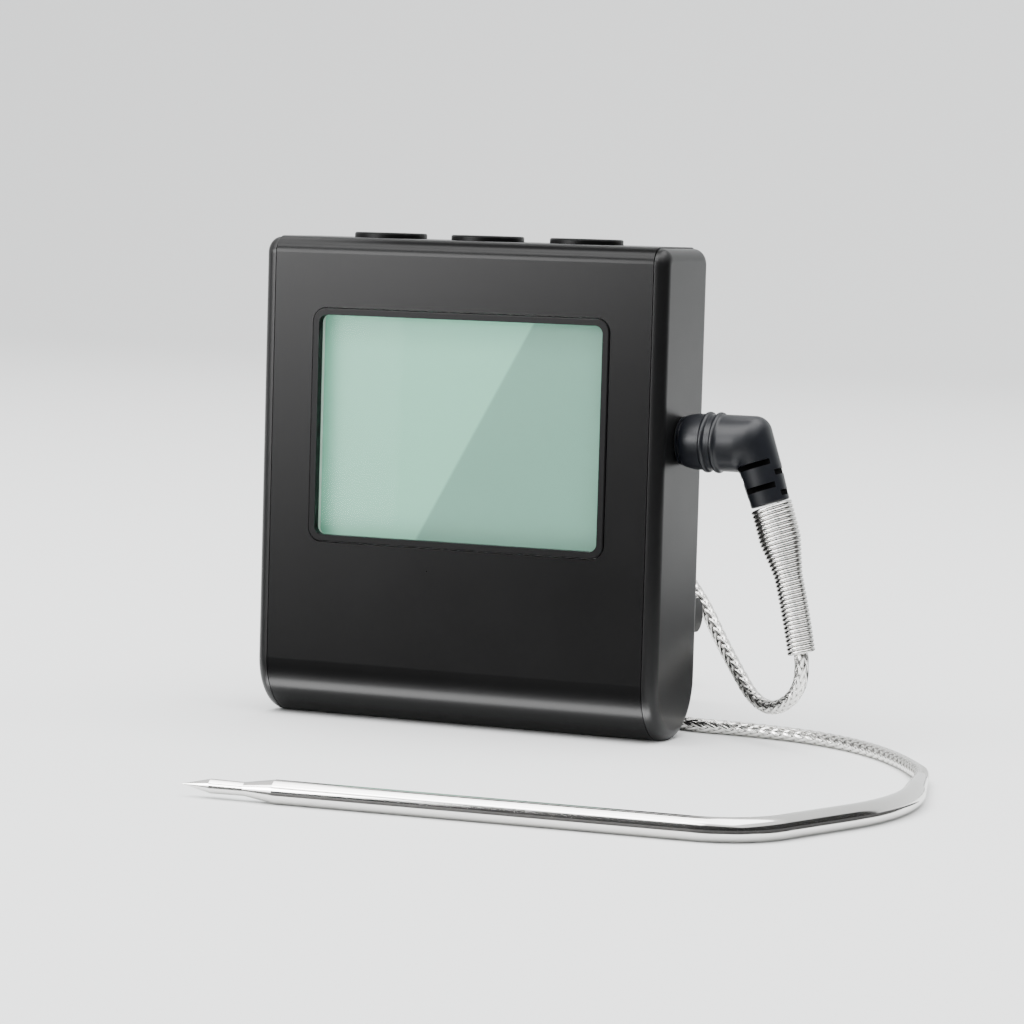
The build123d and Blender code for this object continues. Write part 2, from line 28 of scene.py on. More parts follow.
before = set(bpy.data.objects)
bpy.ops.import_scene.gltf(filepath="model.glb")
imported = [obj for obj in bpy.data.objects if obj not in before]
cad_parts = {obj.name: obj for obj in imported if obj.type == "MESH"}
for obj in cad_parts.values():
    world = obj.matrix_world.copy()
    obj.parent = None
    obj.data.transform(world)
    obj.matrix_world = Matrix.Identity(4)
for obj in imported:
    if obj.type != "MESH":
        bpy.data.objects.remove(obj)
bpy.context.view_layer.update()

MM = 0.001

# Camera
CAMERA_PLACE = Vector((0.228318, -0.5226, 0.077775))
CAMERA_AZIMUTH = math.radians(23.09)
CAMERA_DOWN = math.radians(4.56)
CAMERA_ROLL = math.radians(1.64)
CAMERA_LENS = 133.08

# Plug leg and spring, as in the model
JACK_Y = -0.8 * MM
JACK_Z = 44.63 * MM
ELBOW_X = 43.95 * MM
LEG_TILT = math.radians(18.8)
RELIEF_START = 3.68 * MM
RELIEF_END = 9.0 * MM
RELIEF_RADIUS = 3.12 * MM
RELIEF_TIP = 2.9 * MM
BARREL_RADIUS = 4.2 * MM
INNER_BEND = 0.5 * MM
OUTER_BEND = 2.4 * MM
SLOTS = ((3.05 * MM, "front"), (4.8 * MM, "side"), (6.5 * MM, "front"), (7.9 * MM, "side"))
SLOT_HALF = 2.6 * MM
SLOT_ROUND = 0.42 * MM
SLOT_FLOORS = {"front": 2.0 * MM, "side": 2.55 * MM}
PLUG_PROFILE = ((32.85, 3.45), (32.95, 3.6), (33.15, 3.65), (33.16, 3.2), (33.5, 3.2), (33.51, 3.7),
                (33.65, 3.8), (34.4, 3.98), (35.2, 4.13), (36.6, 4.16), (36.7, 4.3), (36.82, 4.45),
                (37.0, 4.5), (37.1, 4.5), (37.28, 4.45), (37.4, 4.3), (37.5, 4.16), (38.3, 4.16),
                (38.4, 4.3), (38.52, 4.45), (38.7, 4.5), (38.8, 4.5), (38.98, 4.45), (39.1, 4.3),
                (39.2, 4.22), (39.6, 4.2), (40.6, 4.2))
SPRING_STATIONS = ((0.0, 2.85), (5.5, 2.85), (8.0, 2.35), (10.8, 1.86), (22.6, 1.79))
SPRING_TURN = math.radians(9.0)
SPRING_LENGTH = 22.6 * MM
WIRE_RADIUS = 0.29 * MM
SPRING_PITCH = 0.63 * MM

# Lead, as in the model
LEAD_DIAMETER = 2.1 * MM
LEAD_INSIDE = 2.3 * MM
COIL_X = -2.0
COIL_Y = 57.0
TURN_OUT = 12.0
LEAVE_ANGLE = math.radians(225)
ON_FLOOR = 1.05
PROBE_AXIS_Z = 1.6
SWEEP_POINT = Vector((84.9, -52.0, PROBE_AXIS_Z))
TUBE_END = Vector((82.0, -39.6, PROBE_AXIS_Z))
CRIMP_LENGTH = 12.0
COIL_ROWS = (1.4, 3.45, 5.5, 7.5)
COIL_RADII = (12.0, 10.0, 8.0)
COIL_POINTS = 16
COIL_LAST = 10

# Braid over the lead
BRAID_PITCH = 16.4 * MM
BRAID_CARRIERS = 8
BRAID_STEPS = 64
BRAID_WIDTH = 0.70 * MM
BRAID_MIDDLE = 0.99 * MM
BRAID_WAVE = 0.055 * MM
BUNDLE_ACROSS = (-1.0, -0.6, 0.0, 0.6, 1.0)
BUNDLE_CROWN = (-0.075, 0.005, 0.04, 0.005, -0.075)

# Slanted edge of the display's painted reflection, which makes its left half lighter: x - 0.55 z, between two
# values
GLARE_SLANT = -0.55
GLARE_EDGE_START = -0.0230
GLARE_EDGE_END = -0.0225

# Studio
WORLD_LIGHT = 1.4
FLOOR_FLAG_Z = 0.0003
FLAG_LEFT = -1.3
FLAG_RIGHT = 1.0
FLAG_NEAR = -0.7
FLAG_FAR = 0.8


def relief_point(distance, offset=0.0):
    """A point on the strain relief's axis, measured from the elbow; offset goes outwards."""
    x = ELBOW_X + distance * math.sin(LEG_TILT) + offset * math.cos(LEG_TILT)
    z = JACK_Z - distance * math.cos(LEG_TILT) + offset * math.sin(LEG_TILT)
    return Vector((x, JACK_Y, z))


def spring_place(distance):
    """The middle of the spring at a distance along its curved axis, and its heading there."""
    bend = SPRING_LENGTH / SPRING_TURN
    turn = distance / bend
    start = relief_point(RELIEF_END)
    along = bend * math.sin(turn)
    aside = bend * (1 - math.cos(turn))
    x = start.x + along * math.sin(LEG_TILT) - aside * math.cos(LEG_TILT)
    z = start.z - along * math.cos(LEG_TILT) - aside * math.sin(LEG_TILT)
    heading = Vector((math.sin(LEG_TILT - turn), 0, -math.cos(LEG_TILT - turn)))
    return Vector((x, JACK_Y, z)), heading


def make_camera():
    """The photograph's viewpoint."""
    azimuth = CAMERA_AZIMUTH
    right = Vector((math.cos(azimuth), math.sin(azimuth), 0))
    forward = Vector((-math.sin(azimuth) * math.cos(CAMERA_DOWN),
                      math.cos(azimuth) * math.cos(CAMERA_DOWN), -math.sin(CAMERA_DOWN)))
    up = right.cross(forward)
    turned_right = math.cos(CAMERA_ROLL) * right + math.sin(CAMERA_ROLL) * up
    turned_up = math.cos(CAMERA_ROLL) * up - math.sin(CAMERA_ROLL) * right
    data = bpy.data.cameras.new("camera")
    data.lens = CAMERA_LENS
    data.sensor_width = 36
    data.clip_start = 0.01
    data.clip_end = 20
    camera = bpy.data.objects.new("camera", data)
    turn = Matrix((turned_right, turned_up, -forward)).transposed()
    camera.matrix_world = Matrix.Translation(CAMERA_PLACE) @ turn.to_4x4()
    bpy.context.collection.objects.link(camera)
    bpy.context.scene.camera = camera


def coil_turns():
    """The put-away turns: three columns in each of four rows, wound in and out, ending at the front left."""
    points = []
    columns = len(COIL_RADII)
    turns = columns * len(COIL_ROWS)
    last = turns * COIL_POINTS + COIL_LAST
    for step in range(1, last):
        turn = min(step // COIL_POINTS, turns - 1)
        part = step / COIL_POINTS - turn
        row = turn // columns
        column = turn % columns
        if row % 2:
            column = columns - 1 - column
        later = min(turn + 1, turns - 1)
        next_row = later // columns
        next_column = later % columns
        if next_row % 2:
            next_column = columns - 1 - next_column
        shift = min(max((part - 0.75) / 0.25, 0.0), 1.0)
        radius = COIL_RADII[column] * (1 - shift) + COIL_RADII[next_column] * shift
        height = COIL_ROWS[row] * (1 - shift) + COIL_ROWS[next_row] * shift
        angle = math.tau * step / COIL_POINTS
        points.append((COIL_X + radius * math.cos(angle), COIL_Y + radius * math.sin(angle), height))
    return points


def lead_route():
    """The lead's control points in millimetres: hanging loop, put-away turns, then over the table to the probe."""
    start = spring_place(SPRING_LENGTH - LEAD_INSIDE)[0] / MM
    down = [tuple(start), (52.8, -0.7, 12.0), (51.1, 0.9, 7.8), (46.9, 4.0, 5.2), (42.2, 8.0, 5.9),
            (37.9, 12.3, 9.5), (33.2, 17.4, 13.5), (29.3, 21.2, 17.8), (25.6, 24.4, 20.9), (22.8, 28.8, 21.8),
            (21.0, 34.0, 18.4), (19.2, 38.6, 12.0), (16.4, 42.6, 6.0), (12.8, 46.6, 2.2), (10.6, 51.5, 1.3),
            (COIL_X + TURN_OUT, COIL_Y, COIL_ROWS[0])]
    heading = (TUBE_END - SWEEP_POINT).normalized()
    end = TUBE_END + heading * CRIMP_LENGTH
    last = end + heading * 5.6
    leave_x = COIL_X + TURN_OUT * math.cos(LEAVE_ANGLE)
    leave_y = COIL_Y + TURN_OUT * math.sin(LEAVE_ANGLE)
    away = [(leave_x, leave_y, COIL_ROWS[-1]), (-5.8, 43.9, 6.8), (0.6, 39.4, 3.8), (7.8, 36.4, 1.3),
            (15.4, 34.4, ON_FLOOR), (20.9, 29.6, ON_FLOOR), (23.4, 23.0, ON_FLOOR), (25.6, 16.2, ON_FLOOR),
            (30.6, 10.4, ON_FLOOR), (39.2, 10.6, ON_FLOOR), (49.0, 9.2, ON_FLOOR), (57.2, 5.4, ON_FLOOR),
            (64.4, -0.6, ON_FLOOR), (70.3, -8.0, ON_FLOOR), (74.6, -15.4, 1.2), tuple(last), tuple(end)]
    return down + coil_turns() + away


def make_lead():
    """One smooth line from inside the spring to the probe: the wires under the braid."""
    curve = bpy.data.curves.new("lead_core", "CURVE")
    curve.dimensions = "3D"
    curve.resolution_u = 10
    curve.bevel_resolution = 3
    curve.bevel_depth = LEAD_DIAMETER * 0.43
    spline = curve.splines.new("NURBS")
    route = lead_route()
    spline.points.add(len(route) - 1)
    for point, place in zip(spline.points, route):
        point.co = (place[0] * MM, place[1] * MM, place[2] * MM, 1)
    spline.order_u = 3
    spline.use_endpoint_u = True
    lead = bpy.data.objects.new("lead_core", curve)
    bpy.context.collection.objects.link(lead)
    return lead


def line_of(curve_object):
    """The points of a curve object's own line."""
    bare = curve_object.data.copy()
    bare.bevel_depth = 0
    holder = bpy.data.objects.new("line", bare)
    bpy.context.collection.objects.link(holder)
    bpy.context.view_layer.update()
    graph = bpy.context.evaluated_depsgraph_get()
    mesh = bpy.data.meshes.new_from_object(holder.evaluated_get(graph))
    points = [vertex.co.copy() for vertex in mesh.vertices]
    bpy.data.objects.remove(holder)
    bpy.data.meshes.remove(mesh)
    bpy.data.curves.remove(bare)
    return points


def even_frames(points, step):
    """Even steps along a line, each with two directions across it that never twist."""
    frames = []
    side = None
    travelled = 0.0
    wanted = 0.0
    for here, there in zip(points, points[1:]):
        run = there - here
        length = run.length
        if length < 1e-9:
            continue
        heading = run / length
        if side is None:
            side = heading.orthogonal().normalized()
        side = (side - heading * side.dot(heading)).normalized()
        while wanted <= travelled + length:
            place = here + heading * (wanted - travelled)
            frames.append((place, side.copy(), heading.cross(side)))
            wanted += step
        travelled += length
    return frames


def make_braid(lead):
    """Flat bundles of fine wire woven over two and under two round the lead."""
    frames = even_frames(line_of(lead), BRAID_PITCH / BRAID_STEPS)
    slope = math.atan(math.tau * BRAID_MIDDLE / BRAID_PITCH)
    half_angle = BRAID_WIDTH / 2 / math.cos(slope) / BRAID_MIDDLE
    vertices = []
    faces = []
    coordinates = []
    columns = len(BUNDLE_ACROSS)
    for direction in (1, -1):
        for carrier in range(BRAID_CARRIERS):
            base = len(vertices)
            for step, (place, side, other) in enumerate(frames):
                along = step / BRAID_STEPS
                turn = math.tau * (direction * along + carrier / BRAID_CARRIERS)
                column = 2 * carrier + direction * 2 * BRAID_CARRIERS * along
                wave = direction * math.cos(math.pi / 2 * (column - 0.5))
                for share, rise in zip(BUNDLE_ACROSS, BUNDLE_CROWN):
                    angle = turn + share * half_angle
                    radius = BRAID_MIDDLE + BRAID_WAVE * wave + rise * MM
                    vertices.append(place + radius * (math.cos(angle) * side + math.sin(angle) * other))
                    coordinates.append((along, (share + 1) / 2))
            for step in range(len(frames) - 1):
                for column in range(columns - 1):
                    corner = base + step * columns + column
                    faces.append((corner, corner + 1, corner + columns + 1, corner + columns))
    mesh = bpy.data.meshes.new("lead_braid")
    mesh.from_pydata(vertices, [], faces)
    layer = mesh.uv_layers.new(name="along_and_across")
    flat = [value for loop in mesh.loops for value in coordinates[loop.vertex_index]]
    layer.data.foreach_set("uv", flat)
    mesh.shade_smooth()
    braid = bpy.data.objects.new("lead_braid", mesh)
    bpy.context.collection.objects.link(braid)
    return braid


def spring_radius(distance):
    """The radius of the wire's middle line along the spring."""
    for (start, first), (end, second) in zip(SPRING_STATIONS, SPRING_STATIONS[1:]):
        if distance <= end * MM:
            share = (distance / MM - start) / (end - start)
            return (first + share * (second - first)) * MM
    return SPRING_STATIONS[-1][1] * MM


def make_spring():
    """A close-wound wire, closed flat at each end."""
    sides = 12
    steps = 32
    length = SPRING_LENGTH - 2 * WIRE_RADIUS
    total = int(length / SPRING_PITCH * steps)
    centres = []
    for step in range(total + 1):
        distance = WIRE_RADIUS + length * step / total
        place, heading = spring_place(distance)
        across = Vector((0, 1, 0))
        other = heading.cross(across)
        angle = math.tau * step / steps
        radius = spring_radius(distance)
        centres.append(place + radius * (math.cos(angle) * across + math.sin(angle) * other))
    vertices = []
    faces = []
    for index, centre in enumerate(centres):
        before = centres[max(index - 1, 0)]
        after = centres[min(index + 1, total)]
        heading = (after - before).normalized()
        out = (centre - spring_place(WIRE_RADIUS + length * index / total)[0]).normalized()
        out = (out - heading * out.dot(heading)).normalized()
        side = heading.cross(out)
        for corner in range(sides):
            turn = math.tau * corner / sides
            vertices.append(centre + WIRE_RADIUS * (math.cos(turn) * out + math.sin(turn) * side))
    for index in range(total):
        for corner in range(sides):
            first = index * sides + corner
            second = index * sides + (corner + 1) % sides
            faces.append((first, second, second + sides, first + sides))
    faces.append(tuple(reversed(range(sides))))
    faces.append(tuple(range(total * sides, total * sides + sides)))
    mesh = bpy.data.meshes.new("plug_spring_wire")
    mesh.from_pydata(vertices, [], faces)
    mesh.shade_smooth()
    spring = bpy.data.objects.new("plug_spring_wire", mesh)
    bpy.context.collection.objects.link(spring)
    return spring


def elbow_crossing(height, offset):
    """Where the level line at a height above the jack axis meets the line beside the relief's axis."""
    return relief_point((offset * math.sin(LEG_TILT) - height) / math.cos(LEG_TILT), offset)


def elbow_ring(share):
    """One oval across the elbow, on a plane that swings about a pivot under its inner corner."""
    whole = math.pi / 2 - LEG_TILT
    turn = share * whole
    pivot = elbow_crossing(-BARREL_RADIUS - INNER_BEND, -RELIEF_RADIUS - INNER_BEND)
    corner = elbow_crossing(BARREL_RADIUS - OUTER_BEND, RELIEF_RADIUS - OUTER_BEND) - pivot
    height = 2 * BARREL_RADIUS + INNER_BEND
    width = 2 * RELIEF_RADIUS + INNER_BEND
    up_the_leg = corner.z * math.cos(LEG_TILT) - corner.x * math.sin(LEG_TILT)
    if turn <= math.atan2(corner.x, height):
        reach = height / math.cos(turn)
    elif turn >= whole - math.atan2(up_the_leg, width):
        reach = width / math.cos(whole - turn)
    else:
        along = corner.x * math.sin(turn) + corner.z * math.cos(turn)
        aside = corner.x * math.cos(turn) - corner.z * math.sin(turn)
        reach = along + math.sqrt(OUTER_BEND ** 2 - aside ** 2)
    ease = share * share * (3 - 2 * share)
    across = BARREL_RADIUS + (RELIEF_RADIUS - BARREL_RADIUS) * ease
    out = Vector((math.sin(turn), 0, math.cos(turn)))
    return pivot + out * (reach + INNER_BEND) / 2, out, across, (reach - INNER_BEND) / 2


def tube_mesh(name, rings, sides=72):
    """A closed tube through oval rings: (middle, outward direction, half width along Y, half depth)."""
    vertices = []
    for middle, out, across, deep in rings:
        for corner in range(sides):
            angle = math.tau * corner / sides
            vertices.append(middle + Vector((0, across * math.cos(angle), 0)) + out * (deep * math.sin(angle)))
    faces = []
    for ring in range(len(rings) - 1):
        for corner in range(sides):
            first = ring * sides + corner
            second = ring * sides + (corner + 1) % sides
            faces.append((first, second, second + sides, first + sides))
    faces.append(tuple(reversed(range(sides))))
    faces.append(tuple(range((len(rings) - 1) * sides, len(rings) * sides)))
    mesh = bpy.data.meshes.new(name)
    mesh.from_pydata(vertices, [], faces)
    mesh.update()
    return mesh


def face_outwards(mesh):
    """Turn all of a closed mesh's faces outwards."""
    shape = bmesh.new()
    shape.from_mesh(mesh)
    bmesh.ops.recalc_face_normals(shape, faces=shape.faces)
    shape.to_mesh(mesh)
    shape.free()


def slot_mesh(distance, facing, side):
    """A round-ended slot cutter on one side of the strain relief."""
    straight = SLOT_HALF - SLOT_ROUND
    outline = []
    for step in range(9):
        turn = math.pi * step / 8 - math.pi / 2
        outline.append((straight + SLOT_ROUND * math.cos(turn), SLOT_ROUND * math.sin(turn)))
    for step in range(9):
        turn = math.pi * step / 8 + math.pi / 2
        outline.append((-straight + SLOT_ROUND * math.cos(turn), SLOT_ROUND * math.sin(turn)))
    axis = Vector((math.sin(LEG_TILT), 0, -math.cos(LEG_TILT)))
    level = Vector((math.cos(LEG_TILT), 0, math.sin(LEG_TILT)))
    depth_way = Vector((0, side, 0)) if facing == "front" else level * side
    width_way = level if facing == "front" else Vector((0, 1, 0))
    middle = relief_point(distance)
    vertices = []
    for depth in (SLOT_FLOORS[facing], 6 * MM):
        vertices += [middle + depth_way * depth + width_way * u + axis * v for u, v in outline]
    count = len(outline)
    faces = [tuple(range(count)), tuple(reversed(range(count, 2 * count)))]
    faces += [(i, i + count, (i + 1) % count + count, (i + 1) % count) for i in range(count)]
    mesh = bpy.data.meshes.new("slot")
    mesh.from_pydata(vertices, [], faces)
    face_outwards(mesh)
    return mesh


def make_plug():
    """The elbow plug and its slotted sleeve in one moulding."""
    up = Vector((0, 0, 1))
    rings = [(Vector((x * MM, JACK_Y, JACK_Z)), up, radius * MM, radius * MM) for x, radius in PLUG_PROFILE]
    rings += [elbow_ring(step / 40) for step in range(41)]
    level = Vector((math.cos(LEG_TILT), 0, math.sin(LEG_TILT)))
    length = RELIEF_END - RELIEF_START
    for step in range(1, 11):
        radius = RELIEF_RADIUS + (RELIEF_TIP - RELIEF_RADIUS) * step / 10
        rings.append((relief_point(RELIEF_START + (length - 0.15 * MM) * step / 10), level, radius, radius))
    rings.append((relief_point(RELIEF_END), level, RELIEF_TIP - 0.15 * MM, RELIEF_TIP - 0.15 * MM))
    mesh = tube_mesh("plug_moulding", rings)
    face_outwards(mesh)
    plug = bpy.data.objects.new("plug_moulding", mesh)
    bpy.context.collection.objects.link(plug)
    cutters = []
    for distance, facing in SLOTS:
        for side in (-1, 1):
            cutter = bpy.data.objects.new("slot", slot_mesh(distance, facing, side))
            bpy.context.collection.objects.link(cutter)
            cutters.append(cutter)
            cut = plug.modifiers.new("slot", "BOOLEAN")
            cut.operation = "DIFFERENCE"
            cut.solver = "EXACT"
            cut.object = cutter
    bpy.context.view_layer.update()
    graph = bpy.context.evaluated_depsgraph_get()
    finished = bpy.data.meshes.new_from_object(plug.evaluated_get(graph))
    plug.modifiers.clear()
    plug.data = finished
    for cutter in cutters:
        bpy.data.objects.remove(cutter)
    finished.shade_smooth()
    finished.set_sharp_from_angle(angle=math.radians(38))
    return plug


make_camera()
lead = make_lead()
braid = make_braid(lead)
spring = make_spring()
plug = make_plug()


# Materials

def new_material(name, color, roughness, metallic=0.0):
    """A principled material and its shader."""
    material = bpy.data.materials.new(name)
    material.use_nodes = True
    shader = material.node_tree.nodes["Principled BSDF"]
    shader.inputs["Base Color"].default_value = (*color, 1)
    shader.inputs["Roughness"].default_value = roughness
    shader.inputs["Metallic"].default_value = metallic
    return material, shader


def object_noise(material, scale, detail=3.0, stretch=(1, 1, 1)):
    """Noise over the surface, placed by the object's own coordinates."""
    nodes = material.node_tree.nodes
    links = material.node_tree.links
    place = nodes.new("ShaderNodeTexCoord")
    mapping = nodes.new("ShaderNodeMapping")
    mapping.inputs["Scale"].default_value = stretch
    noise = nodes.new("ShaderNodeTexNoise")
    noise.inputs["Scale"].default_value = scale
    noise.inputs["Detail"].default_value = detail
    links.new(place.outputs["Object"], mapping.inputs["Vector"])
    links.new(mapping.outputs["Vector"], noise.inputs["Vector"])
    return noise


def add_bump(material, shader, height, strength, distance):
    """A bump from a height output."""
    bump = material.node_tree.nodes.new("ShaderNodeBump")
    bump.inputs["Strength"].default_value = strength
    bump.inputs["Distance"].default_value = distance
    material.node_tree.links.new(height, bump.inputs["Height"])
    material.node_tree.links.new(bump.outputs["Normal"], shader.inputs["Normal"])
    return bump


def add_range(material, value, low, high, target):
    """A value spread from low to high and fed to a socket."""
    spread = material.node_tree.nodes.new("ShaderNodeMapRange")
    spread.inputs["To Min"].default_value = low
    spread.inputs["To Max"].default_value = high
    material.node_tree.links.new(value, spread.inputs["Value"])
    material.node_tree.links.new(spread.outputs["Result"], target)


def add_tint(material, value, first, second, target):
    """A colour mixed between two by a value."""
    mix = material.node_tree.nodes.new("ShaderNodeMix")
    mix.data_type = "RGBA"
    mix.inputs["A"].default_value = (*first, 1)
    mix.inputs["B"].default_value = (*second, 1)
    material.node_tree.links.new(value, mix.inputs["Factor"])
    material.node_tree.links.new(mix.outputs["Result"], target)


def moulded_plastic(name, color, roughness, grain=0.12, gloss=0.5):
    """Moulded plastic: a fine spark-eroded grain, faint flow clouds and slightly uneven gloss."""
    material, shader = new_material(name, color, roughness)
    shader.inputs["IOR"].default_value = 1.5
    shader.inputs["Specular IOR Level"].default_value = gloss
    fine = object_noise(material, 5200, 2.0)
    add_bump(material, shader, fine.outputs["Fac"], grain, 0.00003)
    clouds = object_noise(material, 60, 4.0)
    darker = tuple(channel * 0.85 for channel in color)
    lighter = tuple(channel * 1.15 for channel in color)
    add_tint(material, clouds.outputs["Fac"], darker, lighter, shader.inputs["Base Color"])
    add_range(material, clouds.outputs["Fac"], roughness - 0.04, roughness + 0.04, shader.inputs["Roughness"])
    return material


def polished_steel(name, color, roughness, lines=(1, 1, 1)):
    """Drawn and polished steel with hair-fine draw lines."""
    material, shader = new_material(name, color, roughness, 1.0)
    hair = object_noise(material, 3000, 2.0, lines)
    add_bump(material, shader, hair.outputs["Fac"], 0.05, 0.00001)
    clouds = object_noise(material, 200, 3.0)
    add_range(material, clouds.outputs["Fac"], roughness - 0.03, roughness + 0.05, shader.inputs["Roughness"])
    return material


def braid_steel_painted_shade():
    """Fine wires lying side by side in each flat bundle, with painted shade: each bundle's colour darkens towards
    its edges, where it turns down into the weave.
    """
    material, shader = new_material("braid_steel_painted_shade", (0.74, 0.73, 0.70), 0.2, 1.0)
    nodes = material.node_tree.nodes
    links = material.node_tree.links
    place = nodes.new("ShaderNodeUVMap")
    place.uv_map = "along_and_across"
    wires = nodes.new("ShaderNodeTexWave")
    wires.bands_direction = "Y"
    wires.inputs["Scale"].default_value = 0.8
    links.new(place.outputs["UV"], wires.inputs["Vector"])
    add_bump(material, shader, wires.outputs["Fac"], 0.5, 0.00004)
    split = nodes.new("ShaderNodeSeparateXYZ")
    links.new(place.outputs["UV"], split.inputs["Vector"])
    middle = nodes.new("ShaderNodeMath")
    middle.operation = "SUBTRACT"
    middle.inputs[1].default_value = 0.5
    links.new(split.outputs["Y"], middle.inputs[0])
    aside = nodes.new("ShaderNodeMath")
    aside.operation = "ABSOLUTE"
    links.new(middle.outputs["Value"], aside.inputs[0])
    edge = nodes.new("ShaderNodeMapRange")
    edge.inputs["From Min"].default_value = 0.25
    edge.inputs["From Max"].default_value = 0.5
    links.new(aside.outputs["Value"], edge.inputs["Value"])
    # Painted shade: each bundle is bright in its middle and dark at its edges, standing in for the shade in the
    # gaps of the weave.
    bright = (0.90, 0.89, 0.86)
    gap_shade_colour = (0.26, 0.255, 0.24)
    add_tint(material, edge.outputs["Result"], bright, gap_shade_colour, shader.inputs["Base Color"])
    return material


def display_green_painted_glare():
    """The display's pale green reflector, with a painted reflection that makes it lighter left of a slanted edge
    and darker right of it.
    """
    material, shader = new_material("display_green_painted_glare", (0.25, 0.58, 0.43), 0.5)
    nodes = material.node_tree.nodes
    links = material.node_tree.links
    place = nodes.new("ShaderNodeTexCoord")
    split = nodes.new("ShaderNodeSeparateXYZ")
    links.new(place.outputs["Object"], split.inputs["Vector"])
    slant = nodes.new("ShaderNodeMath")
    slant.operation = "MULTIPLY_ADD"
    slant.inputs[1].default_value = GLARE_SLANT
    links.new(split.outputs["Z"], slant.inputs[0])
    links.new(split.outputs["X"], slant.inputs[2])
    edge = nodes.new("ShaderNodeMapRange")
    edge.inputs["From Min"].default_value = GLARE_EDGE_START
    edge.inputs["From Max"].default_value = GLARE_EDGE_END
    links.new(slant.outputs["Value"], edge.inputs["Value"])
    # Painted reflection: one green left of the slanted edge and a darker green right of it, standing in for a
    # glare on the display.
    add_tint(material, edge.outputs["Result"], (0.25, 0.58, 0.43), (0.15, 0.34, 0.26), shader.inputs["Base Color"])
    return material


def clear_lens():
    """The flat clear window: nearly all light passes, and its face keeps a glossy reflection."""
    material = bpy.data.materials.new("clear_lens")
    material.use_nodes = True
    nodes = material.node_tree.nodes
    links = material.node_tree.links
    nodes.clear()
    out = nodes.new("ShaderNodeOutputMaterial")
    mix = nodes.new("ShaderNodeMixShader")
    clear = nodes.new("ShaderNodeBsdfTransparent")
    clear.inputs["Color"].default_value = (0.97, 0.99, 0.98, 1)
    gloss = nodes.new("ShaderNodeBsdfGlossy")
    gloss.inputs["Roughness"].default_value = 0.03
    fresnel = nodes.new("ShaderNodeFresnel")
    fresnel.inputs["IOR"].default_value = 1.12
    links.new(fresnel.outputs["Fac"], mix.inputs["Fac"])
    links.new(clear.outputs["BSDF"], mix.inputs[1])
    links.new(gloss.outputs["BSDF"], mix.inputs[2])
    links.new(mix.outputs["Shader"], out.inputs["Surface"])
    return material


def board_laminate():
    """Green circuit laminate with faint copper tracks."""
    material, shader = new_material("board_laminate", (0.02, 0.14, 0.05), 0.35)
    tracks = object_noise(material, 700, 1.0, (1, 1, 4))
    add_tint(material, tracks.outputs["Fac"], (0.015, 0.11, 0.04), (0.05, 0.22, 0.09), shader.inputs["Base Color"])
    return material


def battery_sleeve():
    """The cell's printed sleeve, plain, with a lighter band at its positive end."""
    material, shader = new_material("battery_sleeve", (0.12, 0.13, 0.16), 0.3, 0.3)
    nodes = material.node_tree.nodes
    links = material.node_tree.links
    place = nodes.new("ShaderNodeTexCoord")
    split = nodes.new("ShaderNodeSeparateXYZ")
    links.new(place.outputs["Object"], split.inputs["Vector"])
    band = nodes.new("ShaderNodeMapRange")
    band.inputs["From Min"].default_value = 0.0095
    band.inputs["From Max"].default_value = 0.0097
    links.new(split.outputs["X"], band.inputs["Value"])
    add_tint(material, band.outputs["Result"], (0.10, 0.11, 0.14), (0.62, 0.50, 0.22), shader.inputs["Base Color"])
    return material


def elastomer():
    """The zebra strip: thin dark and light layers side by side."""
    material, shader = new_material("elastomer", (0.5, 0.45, 0.45), 0.6)
    nodes = material.node_tree.nodes
    place = nodes.new("ShaderNodeTexCoord")
    layers = nodes.new("ShaderNodeTexWave")
    layers.inputs["Scale"].default_value = 900
    material.node_tree.links.new(place.outputs["Object"], layers.inputs["Vector"])
    add_tint(material, layers.outputs["Fac"], (0.05, 0.05, 0.05), (0.75, 0.65, 0.66), shader.inputs["Base Color"])
    return material


shell_black = moulded_plastic("shell_black", (0.0025, 0.0025, 0.0027), 0.29, gloss=0.16)
cap_black = moulded_plastic("cap_black", (0.004, 0.004, 0.0043), 0.36, gloss=0.26)
bezel_black = moulded_plastic("bezel_black", (0.004, 0.004, 0.0043), 0.38, 0.04, 0.12)
button_black = moulded_plastic("button_black", (0.003, 0.003, 0.0032), 0.4, gloss=0.1)
plug_black = moulded_plastic("plug_black", (0.003, 0.004, 0.007), 0.40, 0.08, 0.4)
part_black = moulded_plastic("part_black", (0.02, 0.02, 0.02), 0.5)
tray_white = moulded_plastic("tray_white", (0.75, 0.75, 0.73), 0.5)
wire_red = moulded_plastic("wire_red", (0.45, 0.02, 0.02), 0.45)
probe_steel = polished_steel("probe_steel", (0.80, 0.79, 0.77), 0.11, (0.2, 1, 1))
spring_steel = polished_steel("spring_steel", (0.66, 0.65, 0.63), 0.15)
pin_steel = polished_steel("pin_steel", (0.62, 0.61, 0.60), 0.25)
dark_steel = polished_steel("dark_steel", (0.16, 0.16, 0.17), 0.35)
nickel = polished_steel("nickel", (0.75, 0.72, 0.66), 0.2)
# Painted shade: a near-black, dull material for the faces inside the plug's slots, standing in for the shade
# there.
slot_painted_shade = moulded_plastic("slot_painted_shade", (0.001, 0.001, 0.001), 0.9, gloss=0.05)
core_steel = polished_steel("core_steel", (0.36, 0.35, 0.34), 0.4)
woven = braid_steel_painted_shade()

